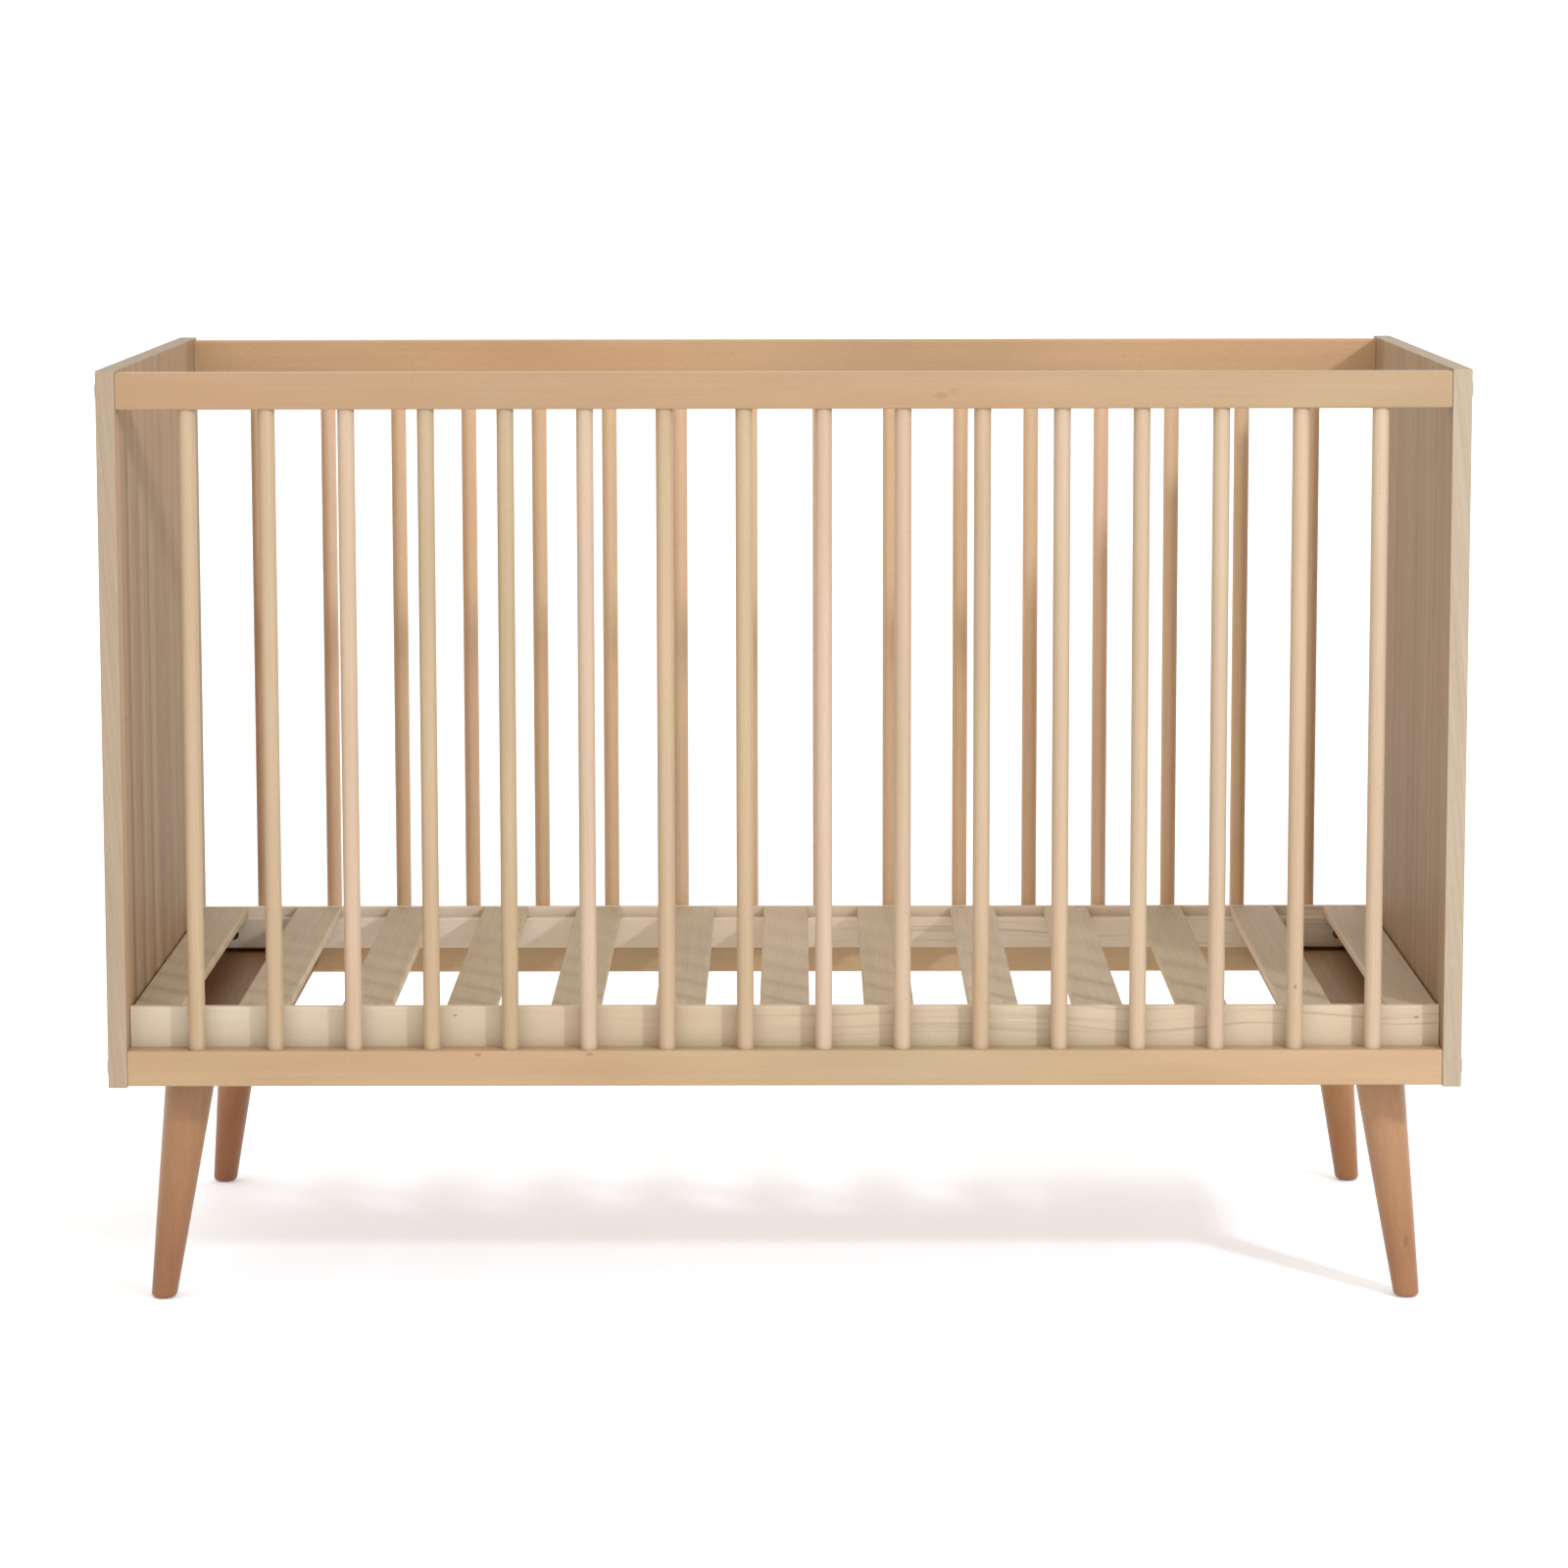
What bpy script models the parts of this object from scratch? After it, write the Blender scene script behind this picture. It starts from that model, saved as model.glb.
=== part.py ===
"""A baby crib for a 120 x 60 cm mattress, as its separate wooden pieces.

Two board end panels carry a barred side at the front and at the rear. Each barred side is a top
and a bottom rail with 16 round bars glued into blind sockets. A board between the bottom rails
at each end carries two turned, splayed legs. The slatted bed base is bolted between the end
panels and can be moved from its low holes to the high ones.

Frame: metres, +Z up. The origin is on the floor under the middle of the crib, +X runs along the
length and the front faces -Y.
"""

import math

import bmesh
import bpy
from mathutils import Matrix, Vector

# Driving dimensions
INNER_LENGTH = 1.240  # between the end panels
GAP = 0.0003  # between pieces that touch

PANEL_THICKNESS = 0.018
PANEL_DEPTH = 0.660
PANEL_HEIGHT = 0.676
PANEL_BOTTOM = 0.216
PANEL_ARRIS = 0.0012

RAIL_HEIGHT = 0.034
RAIL_THICKNESS = 0.024
RAIL_SETBACK = 0.001  # rail face behind the panel's edge
RAIL_ARRIS = 0.002
RAIL_END_GAP = 0.0003
TOP_RAIL_DROP = 0.0025  # top rail below the panel's top edge
BOTTOM_RAIL_RISE = 0.0015  # bottom rail above the panel's bottom edge

BAR_COUNT = 16
BAR_PITCH = 0.074
BAR_RADIUS = 0.008
SOCKET_DEPTH = 0.012
SOCKET_RADIUS = 0.0086
SOCKET_SIDES = 12

BASE_LENGTH = 1.2386
BASE_RAIL_HEIGHT = 0.042
BASE_RAIL_THICKNESS = 0.021
BASE_RAIL_BOTTOM = 0.2475
BASE_SIDE_CLEARANCE = 0.001  # between the bed base and the barred sides
BASE_ARRIS = 0.001
BASE_TRAVEL = 0.300  # from the low bolt holes to the high ones
REBATE_WIDTH = 0.013

SLAT_COUNT = 13
SLAT_PITCH = 0.0991
SLAT_WIDTH = 0.047
SLAT_THICKNESS = 0.010
SLAT_ARRIS = 0.0018

LEG_BOARD_WIDTH = 0.120
LEG_BOARD_THICKNESS = 0.018
LEG_BOARD_RISE = 0.0075  # its underside above the bottom rail's
LEG_BOARD_ARRIS = 0.0008

LEG_SPLAY = math.radians(10)
LEG_FOOT_X = 0.597
LEG_FOOT_Y = 0.2665
LEG_FOOT_RADIUS = 0.0125
LEG_TOP_RADIUS = 0.0249
LEG_FOOT_ROUNDING = 0.005
LEG_TOP_CHAMFER = 0.001
LEG_SIDES = 28
FOOT_STEPS = 5

BOLT_HOLE_RADIUS = 0.0035  # M6 bolts through the end panels
BOLT_BORE_DEPTH = 0.045
NUT_INSET = 0.033  # cross dowels from the end of their rail or board
NUT_HOLE_RADIUS = 0.0052
RAIL_NUT_HOLE_DEPTH = 0.024  # from the rail's underside
BOARD_NUT_HOLE_DEPTH = 0.014  # from the leg board's underside
BASE_NUT_HOLE_RADIUS = 0.006
BASE_NUT_HOLE_SIDES = 20
BASE_NUT_HOLE_DEPTH = 0.017  # from the base rail's inner face
BASE_BOLT_HEIGHT = 0.0143  # above the base rail's underside
BOARD_BOLT_Y = 0.150
BOARD_BOLT_HOLE_RADIUS = 0.003
STUD_HOLE_RADIUS = 0.0043  # M8 studs that hold the legs
BOARD_STUD_DEPTH = 0.014  # from the leg board's underside
LEG_STUD_DEPTH = 0.035  # from the leg's top

# Places that follow from them
PANEL_INNER_X = INNER_LENGTH / 2
PANEL_TOP = PANEL_BOTTOM + PANEL_HEIGHT
PANEL_CENTRE_X = PANEL_INNER_X + PANEL_THICKNESS / 2
RAIL_LENGTH = INNER_LENGTH - 2 * RAIL_END_GAP
BAR_PLANE_Y = PANEL_DEPTH / 2 - RAIL_SETBACK - RAIL_THICKNESS / 2
RAIL_INNER_Y = BAR_PLANE_Y - RAIL_THICKNESS / 2
TOP_RAIL_Z = PANEL_TOP - TOP_RAIL_DROP - RAIL_HEIGHT / 2
BOTTOM_RAIL_Z = PANEL_BOTTOM + BOTTOM_RAIL_RISE + RAIL_HEIGHT / 2
BASE_RAIL_Y = RAIL_INNER_Y - BASE_SIDE_CLEARANCE - BASE_RAIL_THICKNESS / 2
BASE_RAIL_TOP = BASE_RAIL_BOTTOM + BASE_RAIL_HEIGHT
BASE_BOLT_Z = BASE_RAIL_BOTTOM + BASE_BOLT_HEIGHT
REBATE_Y = BASE_RAIL_Y - BASE_RAIL_THICKNESS / 2 + REBATE_WIDTH
LEDGE_Z = BASE_RAIL_TOP - SLAT_THICKNESS - GAP
LEG_BOARD_BOTTOM = PANEL_BOTTOM + BOTTOM_RAIL_RISE + LEG_BOARD_RISE
LEG_BOARD_Z = LEG_BOARD_BOTTOM + LEG_BOARD_THICKNESS / 2
LEG_BOARD_X = PANEL_INNER_X - GAP - LEG_BOARD_WIDTH / 2
LEG_HEIGHT = LEG_BOARD_BOTTOM - GAP
LEG_SHEAR = math.tan(LEG_SPLAY) * math.sqrt(0.5)  # the legs lean out along the diagonals
STUD_X = LEG_FOOT_X - LEG_SHEAR * LEG_BOARD_BOTTOM
STUD_Y = LEG_FOOT_Y - LEG_SHEAR * LEG_BOARD_BOTTOM

SIDES = {"front": -1, "rear": 1}
ENDS = {"left": -1, "right": 1}
UP = (0, 0, 1)
GRAIN_X, GRAIN_Y = 0, 1
OVERCUT = 0.002  # how far a cutter runs past a face
ARRIS_STEPS = 2
HOLE_SIDES = 14
BAR_SIDES = 24
SMOOTH_ANGLE = math.radians(40)  # edges sharper than this stay crisp


def clear_scene():
    for obj in list(bpy.data.objects):
        bpy.data.objects.remove(obj, do_unlink=True)


def new_collection(name):
    collection = bpy.data.collections.new(name)
    bpy.context.scene.collection.children.link(collection)
    return collection


def wood(name, colour, roughness):
    """A Principled BSDF with the colour of one of the crib's woods."""
    material = bpy.data.materials.new(name)
    material.use_nodes = True
    shader = material.node_tree.nodes["Principled BSDF"]
    shader.inputs["Base Color"].default_value = (*colour, 1)
    shader.inputs["Roughness"].default_value = roughness
    shader.inputs["Metallic"].default_value = 0
    material.diffuse_color = (*colour, 1)
    return material


clear_scene()
CRIB = new_collection("baby_crib")
CUTTERS = new_collection("cutters")
PANEL_BOARD = wood("oak_effect_board", (0.49, 0.37, 0.26), 0.55)
RAIL_BEECH = wood("beech_rail", (0.60, 0.40, 0.23), 0.42)
BAR_BEECH = wood("beech_bar", (0.66, 0.46, 0.27), 0.40)
LEG_BEECH = wood("beech_leg", (0.42, 0.24, 0.13), 0.40)
BASE_WOOD = wood("unfinished_base_rail", (0.72, 0.58, 0.42), 0.70)
SLAT_WOOD = wood("unfinished_slat", (0.48, 0.37, 0.25), 0.70)


def add_object(name, mesh, material, place=(0, 0, 0)):
    obj = bpy.data.objects.new(name, mesh)
    obj.location = place
    obj.data.materials.clear()
    obj.data.materials.append(material)
    CRIB.objects.link(obj)
    return obj


def mesh_from(name, bm):
    bmesh.ops.recalc_face_normals(bm, faces=bm.faces)
    mesh = bpy.data.meshes.new(name)
    bm.to_mesh(mesh)
    bm.free()
    return mesh


def box_mesh(name, size, arris=0, grain=None):
    """A box. An arris rounds its edges along the grain, and leaves the ends square."""
    bm = bmesh.new()
    bmesh.ops.create_cube(bm, size=1)
    bmesh.ops.scale(bm, vec=size, verts=bm.verts)
    if arris:
        long_edges = [e for e in bm.edges if e.verts[0].co[grain] * e.verts[1].co[grain] < 0]
        bmesh.ops.bevel(
            bm,
            geom=long_edges,
            offset=arris,
            segments=ARRIS_STEPS,
            profile=0.5,
            affect="EDGES",
        )
    return mesh_from(name, bm)


def board(name, size, centre, material, arris):
    """A board with all its edges slightly rounded."""
    obj = add_object(name, box_mesh(name, size), material, centre)
    bevel = obj.modifiers.new("arris", "BEVEL")
    bevel.width = arris
    bevel.segments = ARRIS_STEPS
    bevel.limit_method = "ANGLE"
    return obj


def cutter(name, mesh):
    obj = bpy.data.objects.new(name, mesh)
    obj.hide_render = True
    obj.display_type = "WIRE"
    CUTTERS.objects.link(obj)
    return obj


def drill(obj, name, holes, sides=HOLE_SIDES):
    """Cuts round holes. Each is (start, direction, radius, depth), and starts OVERCUT outside the wood."""
    bm = bmesh.new()
    for start, direction, radius, depth in holes:
        along = Vector(direction).normalized()
        length = depth + OVERCUT
        middle = Vector(start) + along * (depth - OVERCUT) / 2
        turn = Vector((0, 0, 1)).rotation_difference(along).to_matrix().to_4x4()
        bmesh.ops.create_cone(
            bm,
            cap_ends=True,
            segments=sides,
            radius1=radius,
            radius2=radius,
            depth=length,
            matrix=Matrix.Translation(middle) @ turn,
        )
    cut = obj.modifiers.new(name, "BOOLEAN")
    cut.operation = "DIFFERENCE"
    cut.object = cutter(f"{obj.name}_{name}", mesh_from(name, bm))


def bar_x(index):
    return (index - (BAR_COUNT - 1) / 2) * BAR_PITCH


def end_panel(end):
    """A board panel, drilled for the bolts of both barred sides, the leg board and the bed base."""
    sign = ENDS[end]
    panel = board(
        f"{end}_end_panel",
        (PANEL_THICKNESS, PANEL_DEPTH, PANEL_HEIGHT),
        (sign * PANEL_CENTRE_X, 0, PANEL_BOTTOM + PANEL_HEIGHT / 2),
        PANEL_BOARD,
        PANEL_ARRIS,
    )
    places = []
    for side in SIDES.values():
        places += [(side * BAR_PLANE_Y, TOP_RAIL_Z), (side * BAR_PLANE_Y, BOTTOM_RAIL_Z)]
        places += [(side * BASE_RAIL_Y, BASE_BOLT_Z + lift) for lift in (0, BASE_TRAVEL)]
        places += [(side * BOARD_BOLT_Y, LEG_BOARD_Z)]
    depth = PANEL_THICKNESS + OVERCUT
    drill(panel, "bolt_holes", [
        ((sign * PANEL_INNER_X, y, z), (sign, 0, 0), BOLT_HOLE_RADIUS, depth) for y, z in places
    ])


def rail(side, level):
    """A rail of a barred side: bar sockets, and at each end a bolt bore that meets a cross dowel hole."""
    sign = SIDES[side]
    z = TOP_RAIL_Z if level == "top" else BOTTOM_RAIL_Z
    towards_bars = -1 if level == "top" else 1
    y = sign * BAR_PLANE_Y
    name = f"{side}_{level}_rail"
    size = (RAIL_LENGTH, RAIL_THICKNESS, RAIL_HEIGHT)
    piece = add_object(name, box_mesh(name, size, RAIL_ARRIS, GRAIN_X), RAIL_BEECH, (0, y, z))
    mouth = z + towards_bars * RAIL_HEIGHT / 2
    sockets = [
        ((bar_x(i), y, mouth), (0, 0, -towards_bars), SOCKET_RADIUS, SOCKET_DEPTH)
        for i in range(BAR_COUNT)
    ]
    bores = [
        ((end * RAIL_LENGTH / 2, y, z), (-end, 0, 0), BOLT_HOLE_RADIUS, BOLT_BORE_DEPTH)
        for end in ENDS.values()
    ]
    drill(piece, "sockets", sockets, SOCKET_SIDES)
    drill(piece, "bolt_bores", bores)
    nut_x = RAIL_LENGTH / 2 - NUT_INSET
    underside = z - RAIL_HEIGHT / 2
    drill(piece, "nut_holes", [
        ((end * nut_x, y, underside), UP, NUT_HOLE_RADIUS, RAIL_NUT_HOLE_DEPTH)
        for end in ENDS.values()
    ])


def barred_side(side):
    rail(side, "top")
    rail(side, "bottom")
    low = BOTTOM_RAIL_Z + RAIL_HEIGHT / 2 - SOCKET_DEPTH + GAP
    high = TOP_RAIL_Z - RAIL_HEIGHT / 2 + SOCKET_DEPTH - GAP
    bm = bmesh.new()
    bmesh.ops.create_cone(
        bm,
        cap_ends=True,
        segments=BAR_SIDES,
        radius1=BAR_RADIUS,
        radius2=BAR_RADIUS,
        depth=high - low,
    )
    mesh = mesh_from("bar", bm)
    mesh.shade_smooth()
    mesh.set_sharp_from_angle(angle=SMOOTH_ANGLE)
    for index in range(BAR_COUNT):
        place = (bar_x(index), SIDES[side] * BAR_PLANE_Y, (low + high) / 2)
        add_object(f"{side}_bar_{index + 1:02d}", mesh, BAR_BEECH, place)


def leg_board(end):
    """The board that carries two legs, bolted to the end panel."""
    sign = ENDS[end]
    plate = board(
        f"{end}_leg_board",
        (LEG_BOARD_WIDTH, 2 * (RAIL_INNER_Y - GAP), LEG_BOARD_THICKNESS),
        (sign * LEG_BOARD_X, 0, LEG_BOARD_Z),
        PANEL_BOARD,
        LEG_BOARD_ARRIS,
    )
    edge_x = sign * (PANEL_INNER_X - GAP)
    nut_x = edge_x - sign * NUT_INSET
    bores, nuts, studs = [], [], []
    for side in SIDES.values():
        bolt_y = side * BOARD_BOLT_Y
        mouth = (edge_x, bolt_y, LEG_BOARD_Z)
        bores.append((mouth, (-sign, 0, 0), BOARD_BOLT_HOLE_RADIUS, BOLT_BORE_DEPTH))
        mouth = (nut_x, bolt_y, LEG_BOARD_BOTTOM)
        nuts.append((mouth, UP, NUT_HOLE_RADIUS, BOARD_NUT_HOLE_DEPTH))
        mouth = (sign * STUD_X, side * STUD_Y, LEG_BOARD_BOTTOM)
        leaning = (-sign * LEG_SHEAR, -side * LEG_SHEAR, 1)
        studs.append((mouth, leaning, STUD_HOLE_RADIUS, BOARD_STUD_DEPTH))
    drill(plate, "bolt_bores", bores)
    drill(plate, "nut_and_stud_holes", nuts + studs)


def leg_profile():
    """(radius, height) from the axis at the foot, up the taper and down into the stud's bore."""
    slope = (LEG_TOP_RADIUS - LEG_FOOT_RADIUS) / LEG_HEIGHT
    rounding = LEG_FOOT_ROUNDING
    points = [(0, 0)]
    for step in range(FOOT_STEPS + 1):
        angle = math.radians(90 * step / FOOT_STEPS)
        points.append((
            LEG_FOOT_RADIUS - rounding * (1 - math.sin(angle)),
            rounding * (1 - math.cos(angle)),
        ))
    points += [
        (LEG_TOP_RADIUS - slope * LEG_TOP_CHAMFER, LEG_HEIGHT - LEG_TOP_CHAMFER),
        (LEG_TOP_RADIUS - LEG_TOP_CHAMFER, LEG_HEIGHT),
        (STUD_HOLE_RADIUS, LEG_HEIGHT),
        (STUD_HOLE_RADIUS, LEG_HEIGHT - LEG_STUD_DEPTH),
        (0, LEG_HEIGHT - LEG_STUD_DEPTH),
    ]
    return points


def leg(side, end):
    """A turned, tapered leg. It leans outwards, and its foot and top are cut level."""
    bm = bmesh.new()
    verts = [bm.verts.new((radius, 0, height)) for radius, height in leg_profile()]
    edges = [bm.edges.new(pair) for pair in zip(verts, verts[1:])]
    bmesh.ops.spin(
        bm,
        geom=verts + edges,
        cent=(0, 0, 0),
        axis=(0, 0, 1),
        angle=2 * math.pi,
        steps=LEG_SIDES,
    )
    bmesh.ops.remove_doubles(bm, verts=bm.verts, dist=1e-5)
    x, y = ENDS[end], SIDES[side]
    lean = Matrix.Identity(4)
    lean[0][2] = -x * LEG_SHEAR
    lean[1][2] = -y * LEG_SHEAR
    bmesh.ops.transform(bm, matrix=lean, verts=bm.verts)
    name = f"{side}_{end}_leg"
    mesh = mesh_from(name, bm)
    mesh.shade_smooth()
    mesh.set_sharp_from_angle(angle=SMOOTH_ANGLE)
    add_object(name, mesh, LEG_BEECH, (x * LEG_FOOT_X, y * LEG_FOOT_Y, 0))


def base_side_rail(side):
    """A long rail of the bed base, rebated for the slats and drilled for its bolts and cross dowels."""
    sign = SIDES[side]
    name = f"bed_base_{side}_rail"
    size = (BASE_LENGTH, BASE_RAIL_THICKNESS, BASE_RAIL_HEIGHT)
    centre = (0, sign * BASE_RAIL_Y, BASE_RAIL_BOTTOM + BASE_RAIL_HEIGHT / 2)
    piece = add_object(name, box_mesh(name, size, BASE_ARRIS, GRAIN_X), BASE_WOOD, centre)
    rebate = cutter(
        f"bed_base_{side}_rebate",
        box_mesh("rebate", (BASE_LENGTH + 2 * OVERCUT, 2 * REBATE_WIDTH, 2 * SLAT_THICKNESS)),
    )
    rebate.location = (0, sign * (REBATE_Y - REBATE_WIDTH), LEDGE_Z + SLAT_THICKNESS)
    cut = piece.modifiers.new("rebate", "BOOLEAN")
    cut.operation = "DIFFERENCE"
    cut.object = rebate
    inner_y = sign * (BASE_RAIL_Y - BASE_RAIL_THICKNESS / 2)
    bores, nuts = [], []
    for end in ENDS.values():
        mouth = (end * BASE_LENGTH / 2, sign * BASE_RAIL_Y, BASE_BOLT_Z)
        bores.append((mouth, (-end, 0, 0), BOLT_HOLE_RADIUS, BOLT_BORE_DEPTH))
        mouth = (end * (BASE_LENGTH / 2 - NUT_INSET), inner_y, BASE_BOLT_Z)
        nuts.append((mouth, (0, sign, 0), BASE_NUT_HOLE_RADIUS, BASE_NUT_HOLE_DEPTH))
    drill(piece, "bolt_bores", bores)
    drill(piece, "nut_holes", nuts, BASE_NUT_HOLE_SIDES)


def slats():
    size = (SLAT_WIDTH, 2 * (REBATE_Y - GAP), SLAT_THICKNESS)
    mesh = box_mesh("slat", size, SLAT_ARRIS, GRAIN_Y)
    for index in range(SLAT_COUNT):
        x = (index - (SLAT_COUNT - 1) / 2) * SLAT_PITCH
        place = (x, 0, BASE_RAIL_TOP - SLAT_THICKNESS / 2)
        add_object(f"slat_{index + 1:02d}", mesh, SLAT_WOOD, place)


for end_name in ENDS:
    end_panel(end_name)
    leg_board(end_name)
for side_name in SIDES:
    barred_side(side_name)
    base_side_rail(side_name)
    for end_name in ENDS:
        leg(side_name, end_name)
slats()
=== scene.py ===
import math
import random

import bmesh
import bpy
from mathutils import Matrix, Vector


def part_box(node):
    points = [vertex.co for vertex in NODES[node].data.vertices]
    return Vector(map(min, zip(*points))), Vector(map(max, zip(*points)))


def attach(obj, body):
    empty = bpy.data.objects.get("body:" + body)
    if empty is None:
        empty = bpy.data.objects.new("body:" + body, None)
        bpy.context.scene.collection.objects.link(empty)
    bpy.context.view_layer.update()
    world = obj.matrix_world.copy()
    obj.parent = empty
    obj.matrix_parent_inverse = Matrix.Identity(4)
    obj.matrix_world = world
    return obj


# The looks of a baby crib: its woods, its steel fasteners, a pale floor, soft light and a camera.
# Metres, +Z up. The front faces -Y, the crib's length runs along X.

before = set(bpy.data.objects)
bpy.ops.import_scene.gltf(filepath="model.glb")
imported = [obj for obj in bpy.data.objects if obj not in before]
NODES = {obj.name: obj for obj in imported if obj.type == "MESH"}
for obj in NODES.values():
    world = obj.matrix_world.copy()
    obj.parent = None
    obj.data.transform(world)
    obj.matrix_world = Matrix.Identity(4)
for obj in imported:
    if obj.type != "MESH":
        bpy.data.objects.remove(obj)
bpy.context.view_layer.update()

X, Y, Z = 0, 1, 2
SIDES = {"front": -1, "rear": 1}
ENDS = {"left": -1, "right": 1}
LEFT_TO_RIGHT = (-0.05, 0.05)  # the stretch of X over which a tint changes from one end to the other
FRONT_TO_REAR = (-0.05, 0.05)  # the same along Y

# Sizes of the wooden pieces that the looks depend on
BAR_PITCH = 0.074
SLAT_PITCH = 0.0991
LEG_SPLAY = math.radians(10)
LEG_SHEAR = math.tan(LEG_SPLAY) * math.sqrt(0.5)  # a leg's lean along each axis for its height
LEG_TOP_RADIUS = 0.0249

# Fasteners
NUT_INSET = 0.033  # cross dowels from the end of their rail or board
BASE_BOLT_HEIGHT = 0.0143  # above the base rail's underside
BOARD_BOLT_Y = 0.150
DOWEL_RADIUS = 0.0050
BASE_DOWEL_RADIUS = 0.0057
BOLT_PAST_DOWEL = 0.0006
BOLT_STAND = 0.0001  # a head's underside from the end panel's face
STUD_IN_LEG = 0.034
STUD_IN_BOARD = 0.0135
SCREW_X = 0.586
SCREW_INSET = 0.015
SCREW_LENGTH = 0.014
SCREW_STAND = 0.0002
STAPLE_HALF_CROWN = 0.0030
STAPLE_LEG = 0.0085
STAPLE_WIRE = 0.00036  # radius
STAPLE_OFFSET = 0.011  # from the slat's centre line
STAPLE_INSET = 0.0062  # from the slat's end
STAPLE_STAND = 0.00005

# Linear colours
BEECH_LIGHT = (0.430, 0.296, 0.180)
BEECH_DARK = (0.337, 0.212, 0.119)
BEECH_FLECK = (0.205, 0.105, 0.048)
BAR_LIGHT = (0.488, 0.371, 0.257)
BAR_DARK = (0.392, 0.280, 0.177)
LEG_LIGHT = (0.330, 0.165, 0.078)
LEG_DARK = (0.235, 0.105, 0.044)
LEG_FLECK = (0.120, 0.046, 0.019)
OAK_LIGHT = (0.352, 0.238, 0.142)
OAK_DARK = (0.234, 0.145, 0.076)
OAK_PORE = (0.140, 0.080, 0.042)
# Painted highlight along the end panels' arrises
OAK_ARRIS_HIGHLIGHT = (0.480, 0.380, 0.270)
BAND_LIGHT = (0.378, 0.296, 0.211)
BAND_DARK = (0.283, 0.211, 0.143)
BASE_LIGHT = (0.535, 0.448, 0.330)
BASE_DARK = (0.440, 0.340, 0.226)
BASE_STREAK = (0.250, 0.205, 0.130)
SLAT_LIGHT = (0.412, 0.324, 0.218)
SLAT_DARK = (0.302, 0.226, 0.146)
SLAT_FLECK = (0.170, 0.115, 0.068)
BOARD_LIGHT = (0.330, 0.205, 0.112)
BOARD_DARK = (0.225, 0.122, 0.058)
KNOT = (0.120, 0.055, 0.024)
ZINC_LIGHT = (0.48, 0.46, 0.41)
ZINC_DARK = (0.40, 0.41, 0.43)
DULL_LIGHT = (0.30, 0.27, 0.22)
DULL_DARK = (0.21, 0.19, 0.17)
SCRATCH = (0.33, 0.33, 0.34)

# Factors on a colour
PLAIN = (1.0, 1.0, 1.0)
WARM = (1.07, 0.97, 0.93)
COOL = (0.95, 1.03, 1.05)

# Figure of the woods
FLECK_SIZE = (0.00035, 0.00035, 0.0022)  # the last one along the grain
FLECK_RARITY = 0.62
ARRIS_REACH = 0.0028  # how far the lighter tone at an edge reaches: partly thinned finish, partly painted highlight
SCATTERED_KNOT_SHARE = 0.65
OAK_LEAF_WIDTH = 0.232
OAK_LINE_Y = -0.252  # the dark line on the left end panel's inner face


class Graph:
    """A node tree under construction. A socket takes another node's output, which is linked, or a value."""

    def __init__(self, tree):
        self.tree = tree

    def add(self, kind, sockets=None, **settings):
        node = self.tree.nodes.new(kind)
        for name, value in settings.items():
            setattr(node, name, value)
        for name, value in (sockets or {}).items():
            self.fill(node.inputs[name], value)
        return node

    def fill(self, socket, value):
        if isinstance(value, bpy.types.NodeSocket):
            self.tree.links.new(value, socket)
        elif isinstance(value, tuple) and len(value) == 3 and socket.type == "RGBA":
            socket.default_value = (*value, 1)
        else:
            socket.default_value = value

    def math(self, operation, a, b=0.0, c=0.0, clamp=False):
        node = self.add("ShaderNodeMath", {0: a, 1: b, 2: c}, operation=operation, use_clamp=clamp)
        return node.outputs[0]

    def plus(self, a, b, clamp=False):
        return self.math("ADD", a, b, clamp=clamp)

    def minus(self, a, b):
        return self.math("SUBTRACT", a, b)

    def times(self, a, b):
        return self.math("MULTIPLY", a, b)

    def absolute(self, value):
        return self.math("ABSOLUTE", value)

    def sign(self, value):
        return self.math("SIGN", value)

    def vector(self, operation, a, b=(0, 0, 0)):
        node = self.add("ShaderNodeVectorMath", {0: a, 1: b}, operation=operation)
        return node.outputs["Vector"]

    def length(self, vector):
        return self.add("ShaderNodeVectorMath", {0: vector}, operation="LENGTH").outputs["Value"]

    def scaled(self, vector, factors):
        return self.vector("MULTIPLY", vector, factors)

    def split(self, vector):
        return list(self.add("ShaderNodeSeparateXYZ", {"Vector": vector}).outputs)

    def join(self, x, y, z):
        return self.add("ShaderNodeCombineXYZ", {"X": x, "Y": y, "Z": z}).outputs[0]

    def coordinates(self, kind):
        return self.add("ShaderNodeTexCoord").outputs[kind]

    def noise(self, vector, detail=2.0, roughness=0.5):
        """Noise at one cell per unit of the vector."""
        sockets = {"Vector": vector, "Scale": 1.0, "Detail": detail, "Roughness": roughness}
        return self.add("ShaderNodeTexNoise", sockets).outputs["Fac"]

    def spread(self, value, low, high, smooth=False):
        """Maps low..high to 0..1 and clamps it."""
        kind = "SMOOTHSTEP" if smooth else "LINEAR"
        sockets = {"Value": value, "From Min": low, "From Max": high}
        return self.add("ShaderNodeMapRange", sockets, interpolation_type=kind).outputs[0]

    def mix(self, factor, a, b, blend="MIX"):
        node = self.add("ShaderNodeMix", data_type="RGBA", blend_type=blend)
        self.fill(node.inputs[0], factor)
        self.fill(node.inputs[6], a)
        self.fill(node.inputs[7], b)
        return node.outputs[2]

    def tint(self, colour, factors):
        return self.mix(1.0, colour, factors, "MULTIPLY")

    def random(self, number):
        """One value from 0 to 1 for each whole number."""
        node = self.add("ShaderNodeTexWhiteNoise", {"W": number}, noise_dimensions="1D")
        return node.outputs["Value"]

    def bump(self, shader, height, distance, strength=1.0):
        sockets = {"Height": height, "Distance": distance, "Strength": strength}
        self.fill(shader.inputs["Normal"], self.add("ShaderNodeBump", sockets).outputs["Normal"])


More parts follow.
